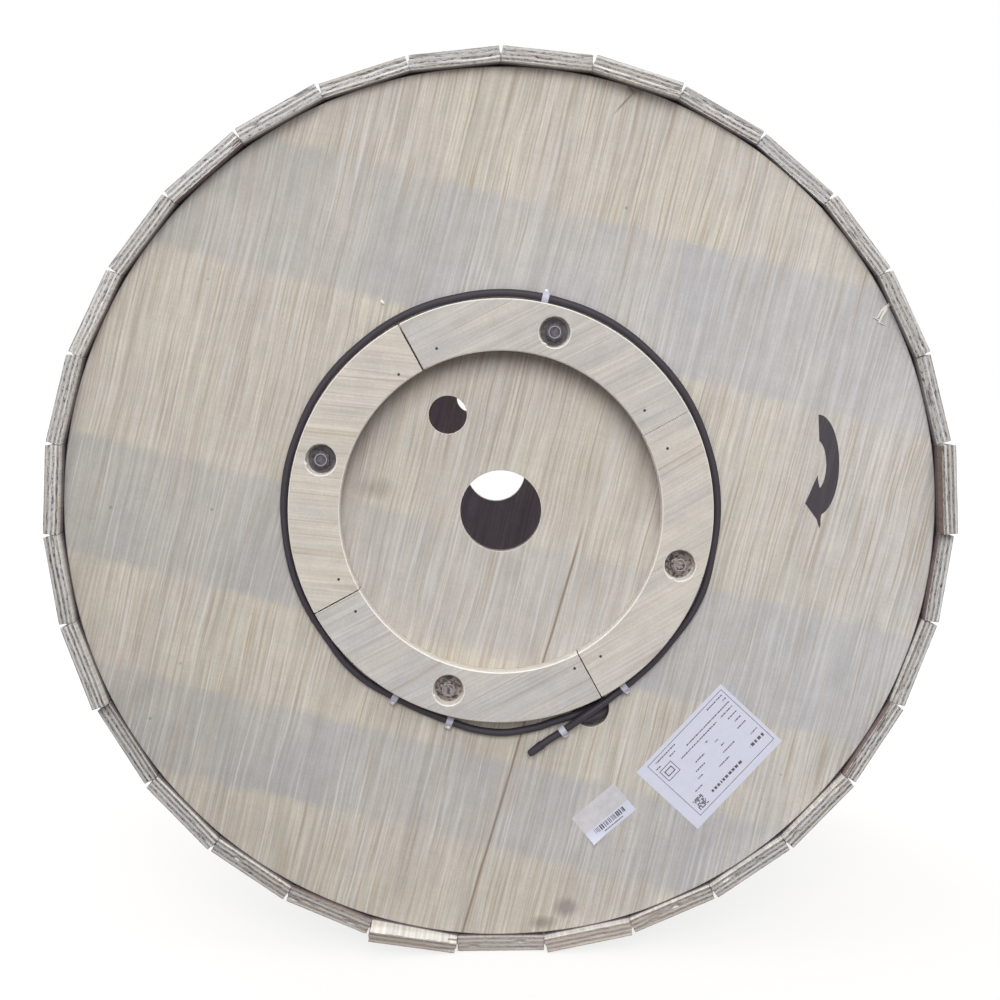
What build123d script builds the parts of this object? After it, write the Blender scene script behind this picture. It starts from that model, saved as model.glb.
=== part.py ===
"""Plywood cable drum with lagging boards, standing on its rim with its axis along Y."""

import os
from math import cos, hypot, radians, sin, tan

from build123d import *

os.makedirs("parts", exist_ok=True)

# Flanges
flange_diameter = 1050.0
flange_thickness = 18.0
drum_width = 740.0
bore_diameter = 98.0
drive_hole_diameter = 46.0
drive_hole_radius = 132.0
drive_hole_angles = {"front": 118.8, "back": 109.0}

# Hub rings of four segments each
ring_inner_diameter = 384.0
ring_width = 61.0
ring_thickness = 27.0
ring_joint_gap = 2.2
ring_joint_gap_shares = (0.2, 1.0, 0.7, 0.6)
ring_joint_angle = 28.5
ring_segment_count = 4

# Tie rods with their nuts and washers
rod_diameter = 12.0
rod_hole_clearance = 0.5
nut_across_flats = 19.0
nut_height = 9.0
nut_face_share = 0.95
nut_chamfer_angle = 30.0
nut_collar_diameter = 15.5
nut_collar_height = 3.0
nut_collar_edge = 1.5
washer_diameter = 32.0
washer_thickness = 2.5
counterbore_diameter = 37.0
counterbore_depth = 17.0
rod_end_below_nut = 2.0

# Barrel staves
stave_count = 24
stave_thickness = 9.0
stave_joint_gap = 0.5
rod_to_stave_gap = 1.5
groove_depth = 6.0

# Lagging boards
board_count = 31
board_thickness = 18.0
board_joint_gap = 0.8
board_overhang = 18.0
board_shift = 15.0
# How far each board is pushed to the front, from the bottom board round by the right
board_shift_shares = (
    -0.67, -0.20, -0.55, -0.35, -0.15, -0.35, -0.40, -0.28, 0.70, -0.45, -0.30,
    -0.35, -0.87, -0.53, 0.23, -0.10, -0.23, -0.38, 0.15, -0.08, -0.20,
    -0.13, 0.13, 0.15, 0.10, 0.25, -0.65, -0.30, -0.47, -0.50, 0.95,
)

# Cable
cable_diameter = 9.0
winding_margin = 77.0
exit_hole_diameter = 46.0
exit_hole_angle = -65.7
exit_hole_gap = 1.5
tail_ring_gap = 2.4
# Points of the tail as angle seen from the front, then steps off the ring and off the flange,
# both in cable diameters
tail_start_shares = (
    (-69.9, 0.45, 0.33),
    (-74.8, 0.45, 0.05),
    (-80.0, 0.85, 0.00),
    (-89.0, 1.30, 0.00),
    (-97.0, 1.00, 0.00),
    (-104.0, 0.40, 0.00),
    (-114.0, 0.10, 0.00),
)
tail_entry_angle = -63.2
tail_entry_share = 0.75
tail_turn_first = -132.0
tail_turn_step = -28.0
tail_turn_points = 10
tail_end_shares = (
    (-404.0, 0.15, 0.00),
    (-413.0, 0.15, 0.05),
    (-421.0, 0.45, 0.42),
    (-427.8, 0.90, 1.02),
    (-433.8, 1.95, 0.32),
    (-438.8, 2.90, 0.26),
    (-441.2, 3.60, 0.22),
)
bend_run_share = 0.45

# Shrink cap on the end of the tail
cap_diameter = 11.0
cap_tip_diameter = 8.5
cap_length = 20.5
cap_grip = 7.0
cap_round = 3.0

# Nail clips over the tail
clip_width = 8.0
clip_tip_width = 4.0
clip_wall = 1.6
clip_foot = 3.0
clip_foot_height = 8.0
clip_edge = 2.0
clip_clearance = 0.6
clip_tail_shares = (0.1120, 0.1536, 0.5773, 0.9256, 0.9784)

# Fits
groove_clearance = 0.3
flat_clearance = 0.2
round_clearance = 0.1
cut_overrun = 5.0

# Places that follow from the sizes
flange_radius = flange_diameter / 2
board_inner_radius = flange_radius + flat_clearance
axis_height = board_inner_radius + board_thickness
ring_inner_radius = ring_inner_diameter / 2
ring_outer_radius = ring_inner_radius + ring_width
rod_circle_radius = ring_inner_radius + ring_width / 2
rod_angle = ring_joint_angle + 180 / ring_segment_count
rod_hole_radius = rod_diameter / 2 + rod_hole_clearance
inner_face = drum_width / 2 - flange_thickness
ring_face = drum_width / 2 + ring_thickness
nut_seat = ring_face - counterbore_depth + washer_thickness
nut_face = nut_seat + nut_height + nut_collar_height
stave_inner_radius = rod_circle_radius + rod_diameter / 2 + rod_to_stave_gap
stave_width = 2 * stave_inner_radius * tan(radians(180 / stave_count)) - stave_joint_gap
barrel_radius = hypot(stave_inner_radius + stave_thickness, stave_width / 2)
exit_hole_radius = barrel_radius + exit_hole_gap + exit_hole_diameter / 2
board_width = 2 * board_inner_radius * tan(radians(180 / board_count)) - board_joint_gap
board_length = drum_width + 2 * board_overhang
cable_radius = cable_diameter / 2
tail_radius = ring_outer_radius + tail_ring_gap + cable_radius
tail_rest = cable_radius + round_clearance

sides = {"front": -1, "back": 1}


def face_plane(y, turn=0):
    """Plane across the axis, seen as from the front, its normal towards the front."""
    across = (cos(radians(turn)), 0, sin(radians(turn)))
    return Plane(origin=(0, y, axis_height), x_dir=across, z_dir=(0, -1, 0))


def polar_point(radius, angle):
    """Point on a face plane at an angle in degrees."""
    return radius * cos(radians(angle)), radius * sin(radians(angle))


def save(piece, name):
    """Label a finished piece and write its STEP file."""
    piece.label = name
    export_step(piece, f"parts/{name}.step")


# Flanges: discs with a groove for the staves on the inner face
for side_name, side in sides.items():
    with BuildPart() as flange:
        with BuildSketch(face_plane(side * drum_width / 2)):
            Circle(flange_radius)
            Circle(bore_diameter / 2, mode=Mode.SUBTRACT)
            with Locations(polar_point(drive_hole_radius, drive_hole_angles[side_name])):
                Circle(drive_hole_diameter / 2, mode=Mode.SUBTRACT)
            with PolarLocations(rod_circle_radius, ring_segment_count, start_angle=rod_angle):
                Circle(rod_hole_radius, mode=Mode.SUBTRACT)
            if side_name == "front":
                with Locations(polar_point(exit_hole_radius, exit_hole_angle)):
                    Circle(exit_hole_diameter / 2, mode=Mode.SUBTRACT)
        extrude(amount=side * flange_thickness)
        with BuildSketch(face_plane(side * inner_face)):
            Circle(barrel_radius + groove_clearance)
            Circle(stave_inner_radius - groove_clearance, mode=Mode.SUBTRACT)
        extrude(amount=-side * groove_depth, mode=Mode.SUBTRACT)
    save(flange.part, f"flange_{side_name}")

# Hub rings: quarter segments with a counterbored rod hole in the middle of each
for side_name, side in sides.items():
    for index in range(ring_segment_count):
        turn = ring_joint_angle + index * 360 / ring_segment_count
        rod_place = polar_point(rod_circle_radius, 180 / ring_segment_count)
        start_gap = ring_joint_gap * ring_joint_gap_shares[index]
        end_gap = ring_joint_gap * ring_joint_gap_shares[(index + 1) % ring_segment_count]
        with BuildPart() as segment:
            with BuildSketch(face_plane(side * drum_width / 2, turn)):
                Circle(ring_outer_radius)
                Circle(ring_inner_radius, mode=Mode.SUBTRACT)
                with Locations((end_gap / 2, start_gap / 2)):
                    Rectangle(
                        ring_outer_radius,
                        ring_outer_radius,
                        align=(Align.MIN, Align.MIN),
                        mode=Mode.INTERSECT,
                    )
                with Locations(rod_place):
                    Circle(rod_hole_radius, mode=Mode.SUBTRACT)
            extrude(amount=-side * ring_thickness)
            with BuildSketch(face_plane(side * ring_face, turn)):
                with Locations(rod_place):
                    Circle(counterbore_diameter / 2)
            extrude(amount=side * counterbore_depth, mode=Mode.SUBTRACT)
        save(segment.part, f"ring_segment_{side_name}_{index + 1}")

# Barrel: flat staves that stand in both grooves
stave_length = 2 * (inner_face + groove_depth - groove_clearance)
with BuildPart() as staves:
    with BuildSketch(face_plane(stave_length / 2)):
        with PolarLocations(stave_inner_radius + stave_thickness / 2, stave_count):
            Rectangle(stave_thickness, stave_width)
    extrude(amount=stave_length)
save(staves.part, "barrel_staves")

# Tie rods, each ending just below the faces of its nuts
rod_length = 2 * (nut_face - rod_end_below_nut)
with BuildPart() as rods:
    with BuildSketch(face_plane(rod_length / 2)):
        with PolarLocations(rod_circle_radius, ring_segment_count, start_angle=rod_angle):
            Circle(rod_diameter / 2)
    extrude(amount=rod_length)
save(rods.part, "tie_rods")

# One chamfered lock nut with a round collar, its seat on XY
with BuildPart() as nut:
    with BuildSketch():
        RegularPolygon(nut_across_flats / 2, 6, major_radius=False)
    extrude(amount=nut_height)
    nut_face_radius = nut_face_share * nut_across_flats / 2
    Cone(
        nut_face_radius + nut_height / tan(radians(nut_chamfer_angle)),
        nut_face_radius,
        nut_height,
        align=(Align.CENTER, Align.CENTER, Align.MIN),
        mode=Mode.INTERSECT,
    )
    with BuildSketch(Plane.XY.offset(nut_height)):
        Circle(nut_collar_diameter / 2)
    extrude(amount=nut_collar_height)
    fillet(nut.faces().sort_by(Axis.Z)[-1].edges(), nut_collar_edge)
    Hole(rod_diameter / 2 + round_clearance)

# One washer, its seat on XY
with BuildPart() as washer:
    with BuildSketch():
        Circle(washer_diameter / 2)
        Circle(rod_hole_radius, mode=Mode.SUBTRACT)
    extrude(amount=washer_thickness)

# Nuts and washers on both ends of every rod
for name, piece, seat in (
    ("hex_nuts", nut, nut_seat),
    ("washers", washer, nut_seat - washer_thickness),
):
    rod_ends = [
        Location(Plane(face_plane(side * seat).from_local_coords(place), z_dir=(0, side, 0)))
        for side in sides.values()
        for place in (
            polar_point(rod_circle_radius, rod_angle + index * 360 / ring_segment_count)
            for index in range(ring_segment_count)
        )
    ]
    with BuildPart() as set_of_pieces:
        with Locations(*rod_ends):
            add(piece.part)
    save(set_of_pieces.part, name)

# Lagging: flat boards side by side round both flanges, the first one flat on the floor
for index in range(board_count):
    board_angle = radians(-90 + index * 360 / board_count)
    outward = Vector(cos(board_angle), 0, sin(board_angle))
    middle = Vector(0, -board_shift * board_shift_shares[index], axis_height)
    with BuildPart() as board:
        with BuildSketch(Plane(middle + outward * board_inner_radius, x_dir=(0, 1, 0), z_dir=outward)):
            Rectangle(board_length, board_width)
        extrude(amount=board_thickness)
    save(board.part, f"lagging_board_{index + 1:02d}")

# Cable wound on the barrel, one turned solid between the flanges
with BuildPart() as winding:
    with BuildSketch(face_plane(inner_face - flat_clearance)):
        Circle(flange_radius - winding_margin)
        Circle(barrel_radius + flat_clearance, mode=Mode.SUBTRACT)
    extrude(amount=2 * (inner_face - flat_clearance))
save(winding.part, "cable_winding")


def tail_point(angle, radius, lift):
    """Centre of the tail at an angle and radius, lifted off the front flange."""
    across, up = polar_point(radius, angle)
    return Vector(across, -drum_width / 2 - lift, axis_height + up)


def tail_step(angle, out_share, lift_share):
    """Centre of the tail, stepped off the ring and the flange in cable diameters."""
    return tail_point(
        angle,
        tail_radius + out_share * cable_diameter,
        tail_rest + lift_share * cable_diameter,
    )


# Tail: out through the exit hole, once round the hub ring and over itself to its end
tail_points = [
    tail_point(
        tail_entry_angle,
        tail_radius + tail_entry_share * cable_diameter,
        cable_radius - flange_thickness,
    )
]
for angle, out_share, lift_share in tail_start_shares:
    tail_points.append(tail_step(angle, out_share, lift_share))
for index in range(tail_turn_points):
    corner_radius = tail_radius / cos(radians(tail_turn_step / 2))
    tail_points.append(tail_point(tail_turn_first + index * tail_turn_step, corner_radius, tail_rest))
for angle, out_share, lift_share in tail_end_shares:
    tail_points.append(tail_step(angle, out_share, lift_share))
tail_bends = []
for before, corner, after in zip(tail_points, tail_points[1:], tail_points[2:]):
    run_in = corner - before
    run_out = after - corner
    half_turn = radians(run_in.get_angle(run_out)) / 2
    tail_bends.append(bend_run_share * min(run_in.length, run_out.length) / tan(half_turn))
print("tail bend radii", [round(bend, 1) for bend in tail_bends])

with BuildPart() as tail:
    with BuildLine():
        tail_path = FilletPolyline(*tail_points, radius=tail_bends)
    with BuildSketch(Plane(tail_path @ 0, z_dir=tail_path % 0)):
        Circle(cable_radius)
    sweep()
print("tail length", round(tail_path.length, 1), "volume share",
      round(tail.part.volume / (tail_path.length * Circle(cable_radius).area), 4))
save(tail.part, "cable_tail")

# Shrink cap: a tapered cup pushed over the end of the tail
cap_start = (tail_path @ 1) - (tail_path % 1) * cap_grip
with BuildPart() as cap:
    with BuildSketch(Plane(cap_start, z_dir=tail_path % 1)):
        Circle(cap_diameter / 2)
    with BuildSketch(Plane(cap_start + (tail_path % 1) * cap_length, z_dir=tail_path % 1)):
        Circle(cap_tip_diameter / 2)
    loft()
    fillet(cap.edges().sort_by(Axis(cap_start, tail_path % 1))[-1], cap_round)
    with BuildSketch(Plane(cap_start, z_dir=tail_path % 1)):
        Circle(cable_radius + round_clearance)
    extrude(amount=cap_grip + round_clearance, mode=Mode.SUBTRACT)
save(cap.part, "cable_end_cap")

# Nail clips: a saddle over the tail with a foot on the side away from the ring
for index, share in enumerate(clip_tail_shares):
    centre = tail_path @ share
    along = tail_path % share
    along = Vector(along.X, 0, along.Z).normalized()
    height = -drum_width / 2 - centre.Y
    channel_radius = cable_radius + clip_clearance
    saddle_radius = channel_radius + clip_wall
    clip_plane = Plane(centre, x_dir=Vector(0, -1, 0).cross(along), z_dir=along)
    with BuildPart() as clip:
        with BuildSketch(clip_plane) as profile:
            Circle(saddle_radius)
            with Locations((0, -height)):
                Rectangle(saddle_radius, height, align=(Align.MIN, Align.MIN))
                Rectangle(saddle_radius + clip_foot, clip_foot_height, align=(Align.MIN, Align.MIN))
            with Locations((0, -height)):
                Rectangle(
                    2 * (saddle_radius + clip_foot),
                    cut_overrun,
                    align=(Align.CENTER, Align.MAX),
                    mode=Mode.SUBTRACT,
                )
            Circle(channel_radius, mode=Mode.SUBTRACT)
            Rectangle(
                2 * channel_radius,
                height,
                align=(Align.CENTER, Align.MAX),
                mode=Mode.SUBTRACT,
            )
            fillet(profile.vertices().group_by(Axis.X)[-1].sort_by(Axis.Y)[-1], clip_edge)
        extrude(amount=clip_width / 2, both=True)
        # Seen from the front, the foot narrows to its nail
        with BuildSketch(Plane(centre, x_dir=clip_plane.x_dir, z_dir=clip_plane.y_dir)):
            Polygon(
                (-saddle_radius, -clip_width / 2),
                (cable_radius, -clip_width / 2),
                (saddle_radius + clip_foot, -clip_tip_width / 2),
                (saddle_radius + clip_foot, clip_tip_width / 2),
                (cable_radius, clip_width / 2),
                (-saddle_radius, clip_width / 2),
                align=None,
            )
        extrude(amount=height + saddle_radius, both=True, mode=Mode.INTERSECT)
    save(clip.part, f"cable_clip_{index + 1}")
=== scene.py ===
"""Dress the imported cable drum: plywood, boards, cable, fasteners, labels and a plain studio."""

from functools import partial
from math import cos, pi, radians, sin

import bmesh
import bpy
import numpy as np
from mathutils import Matrix, Vector


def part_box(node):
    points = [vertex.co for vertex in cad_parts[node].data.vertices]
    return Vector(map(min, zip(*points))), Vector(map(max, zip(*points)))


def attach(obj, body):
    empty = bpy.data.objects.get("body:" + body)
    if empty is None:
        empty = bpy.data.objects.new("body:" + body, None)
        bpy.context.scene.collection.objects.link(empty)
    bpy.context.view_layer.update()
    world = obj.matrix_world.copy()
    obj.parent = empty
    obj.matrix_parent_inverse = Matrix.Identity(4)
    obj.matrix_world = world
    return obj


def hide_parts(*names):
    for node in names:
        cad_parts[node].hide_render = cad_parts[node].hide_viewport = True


bl_info = {
    "name": "Plywood Cable Drum",
    "version": (1, 0, 0),
    "blender": (4, 5, 0),
    "location": "View3D > Sidebar > Cable Drum",
    "description": "Finishes a packed plywood cable drum and sets up a plain studio for it",
    "category": "Object",
}

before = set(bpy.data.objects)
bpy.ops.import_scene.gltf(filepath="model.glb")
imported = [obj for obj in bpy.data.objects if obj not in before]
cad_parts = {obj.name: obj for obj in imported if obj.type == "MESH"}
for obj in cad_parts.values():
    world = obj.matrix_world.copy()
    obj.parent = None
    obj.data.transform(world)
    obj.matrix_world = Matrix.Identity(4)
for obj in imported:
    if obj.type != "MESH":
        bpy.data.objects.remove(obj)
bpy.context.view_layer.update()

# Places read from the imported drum, in metres
flange_low, flange_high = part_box("flange_front")
axis_height = (flange_low.z + flange_high.z) / 2
flange_face = flange_low.y
flange_thickness = flange_high.y - flange_low.y
flange_radius = (flange_high.x - flange_low.x) / 2
ring_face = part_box("ring_segment_front_1")[0].y
board_names = sorted(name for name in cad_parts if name.startswith("lagging_board"))
board_low, board_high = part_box(board_names[0])
winding_low, winding_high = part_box("cable_winding")
# The four tie rods: radius of their circle in millimetres, and where each stands
rod_circle = 222.5
rod_turns = [radians(73.5 + 90 * k) for k in range(4)]
# The option that each of these kinds of node is known by
main_options = {"Math": "operation", "VectorMath": "operation", "Mix": "data_type", "Mapping": "vector_type"}


def linear(hex_colour):
    """Linear RGBA of an sRGB hex colour."""
    shares = [int(hex_colour[i:i + 2], 16) / 255 for i in (0, 2, 4)]
    return tuple(s / 12.92 if s <= 0.04045 else ((s + 0.055) / 1.055) ** 2.4 for s in shares) + (1.0,)


def add_node(tree, kind, *values, **settings):
    """Add a shader node and give its first live output.

    The kind may be followed by the node's main option. The values fill its live inputs in order,
    capitalised settings fill inputs by name, and the other settings are its options.
    """
    kind, _, option = kind.partition(" ")
    node = tree.nodes.new("ShaderNode" + kind)
    if option:
        setattr(node, main_options[kind], option)
    for name, value in settings.items():
        if name.islower():
            setattr(node, name, value)
    fills = list(zip([socket for socket in node.inputs if socket.enabled], values))
    fills += [(node.inputs[name], value) for name, value in settings.items() if not name.islower()]
    for socket, value in fills:
        if isinstance(value, bpy.types.NodeSocket):
            tree.links.new(value, socket)
        else:
            socket.default_value = value
    return next((socket for socket in node.outputs if socket.enabled), None)


def wire(shader, **values):
    """Link values to inputs of a shader, with an underscore in a name for a space."""
    for name, value in values.items():
        shader.id_data.links.new(value, shader.inputs[name.replace("_", " ")])


def start_material(name, roughness, ior=None):
    """New node material, with its own add_node, its main shader and the place on the piece."""
    material = bpy.data.materials.new(name)
    material.use_nodes = True
    shader = material.node_tree.nodes["Principled BSDF"]
    shader.inputs["Roughness"].default_value = roughness
    if ior:
        shader.inputs["IOR"].default_value = ior
    add = partial(add_node, material.node_tree)
    return material, add, shader, add("TexCoord").node.outputs["Object"]


def stretched_noise(add, lay, scale, detail, side=0.0, **more):
    """Noise of the given size (m) along each axis; side picks another part of it."""
    place = add("Mapping TEXTURE", lay, Location=(0, side, 0), Scale=scale)
    return add("TexNoise", place, Scale=1.0, Detail=detail, **more)


def overlay(add, colour, *tints):
    """The colour with tints laid over it in turn, each given as its share and its sRGB hex."""
    for share, tint in tints:
        colour = add("Mix RGBA", share, colour, linear(tint))
    return colour


def streaks(add, lay, sizes):
    """Brightness near 1 from noises stretched along the grain; sizes are across, along (m) and strength."""
    value = None
    for across, along, strength in sizes:
        spread = stretched_noise(add, lay, (across, 0.2, along), 1.0)
        part = add("MapRange", spread, 0.25, 0.75, 1 - strength, 1 + strength)
        value = add("Math MULTIPLY", value, part) if value else part
    return value


def sparse_streaks(add, lay, across, along, side, strength):
    """Strength on scattered streaks along the grain, 0 elsewhere; side picks another set."""
    spread = stretched_noise(add, lay, (across, 0.2, along), 1.0, side)
    return add("MapRange", spread, 0.55, 0.72, 0.0, strength)


def grain_lines(add, lay, across, along, width):
    """Thin lines along the grain, 1 on a line: the level lines of a stretched noise."""
    spread = stretched_noise(add, lay, (across, 0.2, along), 0.0)
    folded = add("Math PINGPONG", spread, 0.09)
    return add("MapRange", folded, 0.0, width, 1.0, 0.0, interpolation_type="SMOOTHSTEP")


def mottled_value(add, place, value):
    """The brightness broken up by fibre tufts of 3 mm and soft clouds of 20 mm."""
    for scale, strength in ((300.0, 0.06), (45.0, 0.05)):
        spread = add("TexNoise", place, Scale=scale, Detail=3.0, Roughness=0.65)
        part = add("MapRange", spread, 0.3, 0.7, 1 - strength, 1 + strength)
        value = add("Math MULTIPLY", value, part)
    return value


def sawn_plies(add, place, through, seed, ply, light, dark, gap):
    """Colour and height of sawn plywood edges: a tone for each ply, glue lines and torn voids."""
    drift = add("TexNoise", place, Scale=22.0, Detail=1.0)
    layer = add("Math MULTIPLY_ADD", through, 1 / ply, drift)
    index = add("Math FLOOR", layer)
    key = add("CombineXYZ", index, seed)
    tone = add("TexWhiteNoise", key, noise_dimensions="2D")
    parity = add("Math FLOORED_MODULO", index, 2.0)
    share = add("Math MULTIPLY_ADD", parity, 1.1, tone)
    fall = add("Math MULTIPLY", share, 0.44, use_clamp=True)
    plain = add("Mix RGBA", fall, light, dark)
    # Fibres run along each ply, about 0.4 mm thick, drawn at 1.2 mm to show
    fibre = stretched_noise(add, place, (0.035, 0.035, 0.0012), 3.0, Roughness=0.7)
    shade = add("MapRange", fibre, 0.3, 0.7, 0.86, 1.1)
    rough = add("HueSaturation", Value=shade, Color=plain)
    part = add("Math FRACT", layer)
    side = add("Math PINGPONG", part, 0.5)
    line = add("MapRange", side, 0.02, 0.15, 0.5, 0.0)
    torn = stretched_noise(add, place, (0.0065, 0.0065, 0.0014), 3.0)
    void = add("MapRange", torn, 0.55, 0.65, 0.0, 0.95)
    # Mostly the cross plies are torn, and the glue lines come and go
    weak = add("MapRange", parity, 0.0, 1.0, 0.25, 1.0)
    broken = add("MapRange", torn, 0.38, 0.6)
    glue = add("Math MULTIPLY", line, broken)
    # Torn fibre ends of 1 mm, drawn at 2.6 mm to show
    dots = stretched_noise(add, place, (0.0026, 0.0026, 0.0012), 1.0)
    pitted = add("MapRange", dots, 0.54, 0.66, 0.0, 0.68)
    torn_out = add("Math MAXIMUM", void, pitted)
    holes = add("Math MULTIPLY", torn_out, weak)
    open_parts = add("Math MAXIMUM", glue, holes)
    colour = add("Mix RGBA", open_parts, rough, gap)
    height = add("Math SUBTRACT", fibre, open_parts)
    return colour, height


def sawn_edges(add, place, face_colour, face_height, wear_and_highlight, *plies):
    """Colour and height of plywood: sawn plies where it turns away from the face, corners rubbed pale and
    painted lighter as a highlight.
    """
    depth = add("SeparateXYZ", place).node.outputs["Y"]
    swapped = add("Mapping", place, Rotation=(pi / 2, 0, 0))
    edge_colour, edge_height = sawn_plies(add, swapped, depth, *plies)
    turned = add("NewGeometry").node.outputs["True Normal"]
    facing = add("Math ABSOLUTE", add("SeparateXYZ", turned).node.outputs["Y"])
    flat = add("Math GREATER_THAN", facing, 0.97)
    # The bevels are rubbed pale, and the pale also stands in as a painted highlight along the edges
    worn = add("Math COMPARE", facing, 0.65, 0.3)
    sawn = add("Mix RGBA", flat, edge_colour, face_colour)
    return overlay(add, sawn, (worn, wear_and_highlight)), add("Mix", flat, edge_height, face_height)


def finish(add, shader, colour, height, depth):
    """Wire a colour and a relief of the given depth (m) to the shader."""
    relief = add("Bump", Strength=0.6, Distance=depth, Height=height)
    wire(shader, Base_Color=colour, Normal=relief)


def flange_plywood(look):
    """Weathered poplar plywood: dry peeled veneer, so matt, streaked along its grain, stained across it."""
    material, add, shader, place = start_material("weathered_poplar_plywood", 0.78, 1.5)
    lay = add("Mapping TEXTURE", place, Location=(0, 0, axis_height), Rotation=(0, look.flange_lean, 0))
    across, _, along = add("SeparateXYZ", lay).node.outputs
    # The grain wanders a few millimetres from straight
    wave = stretched_noise(add, lay, (0.1, 0.2, 0.16), 2.0)
    sway = add("Math MULTIPLY_ADD", wave, 0.01, -0.005)
    aside = add("CombineXYZ", sway)
    grain = add("VectorMath ADD", lay, aside)
    # Grey stain bands, their edges ragged by some 4 mm along the grain
    rag = stretched_noise(add, lay, (0.014, 0.2, 0.9), 2.0)
    ragged = add("Math MULTIPLY_ADD", rag, 0.018, along)
    # The ramp spans 1.1 m along the grain, with the raggedness at its mean of 9 mm
    span, mean_rag, soft = 1.1, 0.009, 0.005
    stripes = add("ValToRGB", add("MapRange", ragged, mean_rag - span / 2, mean_rag + span / 2))
    ramp = stripes.node.color_ramp
    ramp.elements[0].color = ramp.elements[1].color = (0, 0, 0, 1)
    # Where each band begins and ends, in metres along the grain from the axis
    for index, edge in enumerate((-0.405, -0.297, -0.172, -0.030, 0.210, 0.365)):
        for step, value in ((-soft, index % 2), (soft, 1 - index % 2)):
            ramp.elements.new((edge + step) / span + 0.5).color = (value, value, value, 1)
    blot = stretched_noise(add, lay, (0.1, 0.2, 0.16), 3.0)
    uneven = add("MapRange", blot, 0.3, 0.7, 0.3, 1.1)
    level = add("VectorMath MULTIPLY", lay, (1, 0, 1))
    radius = add("VectorMath LENGTH", level)
    inside = add("Math LESS_THAN", radius, 0.2)
    # The hub recess took less of the stain
    taken = add("MapRange", inside, 0.0, 1.0, 1.0, 0.62)
    spread = add("Math MULTIPLY", uneven, taken)
    stain = add("Math MULTIPLY", stripes, spread)
    creamy = add("MapRange", wave, 0.42, 0.62, 0.0, 0.6)
    veneer = add("Mix RGBA", creamy, (*look.flange_yellow, 1), linear("cdc6b6"))
    # The stain is browner on the left
    leftness = add("MapRange", across, -0.4, 0.1, 0.65, 0.0)
    stain_colour = add("Mix RGBA", leftness, (*look.flange_grey, 1), linear("b5b1ab"))
    stained = add("Mix RGBA", stain, veneer, stain_colour)
    # The right side is bleached paler and cooler
    bleach = add("MapRange", across, 0.12, 0.5, 0.0, 0.4)
    base = overlay(add, stained, (bleach, "c9c8cb"))
    # Veneer streaks: strips of 45 mm, streaks of 8 mm, fibres of 3 mm, and faint knife marks across them
    tone = streaks(add, grain, ((0.045, 1.6, 0.04), (0.010, 0.40, 0.09), (0.0027, 0.12, 0.18),
                                 (0.06, 0.0028, 0.02)))
    calm = add("MapRange", stain, 0.0, 1.0, 1.0, 0.6)
    swing = add("Math SUBTRACT", tone, 1.0)
    eased = add("Math MULTIPLY_ADD", swing, calm, 1.0)
    # Painted shade that darkens the flange towards its lower rim, its left side and most of all between the
    # two
    lower = add("MapRange", along, -0.4, 0.2, 0.87, 0.995)
    left = add("MapRange", across, -0.46, -0.15, 0.94, 1.0)
    level_place = add("SeparateXYZ", place)
    low_left = add("Math ADD", level_place, level_place.node.outputs["Z"])
    low_left_dark = add("MapRange", low_left, axis_height - 0.74, axis_height - 0.52, 0.88, 1.0)
    beside = add("Math MULTIPLY", left, low_left_dark)
    dirt_and_shade = add("Math MULTIPLY", lower, beside)
    shade = add("Math MULTIPLY", eased, dirt_and_shade)
    broken = mottled_value(add, place, shade)
    streaked = add("HueSaturation", Value=broken, Color=base)
    pale = sparse_streaks(add, grain, 0.0034, 0.15, 1.0, 0.50)
    brown = sparse_streaks(add, grain, 0.0027, 0.14, 2.0, 0.65)
    unstained = add("MapRange", stain, 0.0, 1.0, 1.0, 0.45)
    tanned = add("Math MULTIPLY", brown, unstained)
    # One long split beside the bore, some 2 mm wide, running to the lower rim and closing towards the bore
    course = add("Math MULTIPLY_ADD", along, 0.0405, 0.101)
    off_split = add("Math SUBTRACT", across, course)
    waved = add("Math MULTIPLY_ADD", blot, 0.006, -0.003)
    to_split = add("Math ADD", off_split, waved)
    from_split = add("Math ABSOLUTE", to_split)
    in_split = add("MapRange", from_split, 0.0005, 0.0023, 0.85, 0.0)
    below = add("MapRange", along, 0.022, -0.04)
    split = add("Math MULTIPLY", in_split, below)
    # Pin specks and grime spots a few millimetres wide
    spots = add("TexVoronoi", place, 26.0)
    lucky = add("SeparateXYZ", spots.node.outputs["Color"])
    few = add("Math GREATER_THAN", lucky, 0.8)
    dot = add("MapRange", spots, 0.025, 0.07, 0.5, 0.0)
    speck = add("Math MULTIPLY", dot, few)
    tints = [(pale, "d6d5d5"), (tanned, "a8957f"), (split, "84705f"), (speck, "6f665f")]
    # Grey thumb smudges near the lower rim and in the hub recess, and a tear with two cracks at the upper rim
    for x, z, wide, tall, strength, lean in (
            (0.050, -0.510, 0.013, 0.007, 0.65, 0), (0.082, -0.491, 0.012, 0.009, 0.65, 0),
            (-0.150, 0.028, 0.020, 0.010, 0.40, 0), (0.015, -0.070, 0.012, 0.016, 0.20, 0),
            (0.159, 0.497, 0.011, 0.006, 0.60, 0), (0.1464, 0.4840, 0.0012, 0.018, 0.80, 43),
            (0.1532, 0.4989, 0.0014, 0.008, 0.80, -36)):
        spot = add("Mapping TEXTURE", place, Location=(x, flange_face, axis_height + z),
                   Rotation=(0, radians(lean), 0), Scale=(wide, 0.2, tall))
        torn_spot = add("VectorMath LENGTH", spot)
        loose = add("Math MULTIPLY_ADD", rag, 1.6, torn_spot)
        tints.append((add("MapRange", loose, 1.2, 2.3, strength, 0.0), "7f7672"))
    # Painted shade in the joint under the boards, a dark line about 2 mm wide round the rim
    wandering = add("Math MULTIPLY_ADD", blot, 0.003, radius)
    joint = add("MapRange", wandering, flange_radius + 0.0002, flange_radius + 0.0012, 0.0, 0.9)
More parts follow.
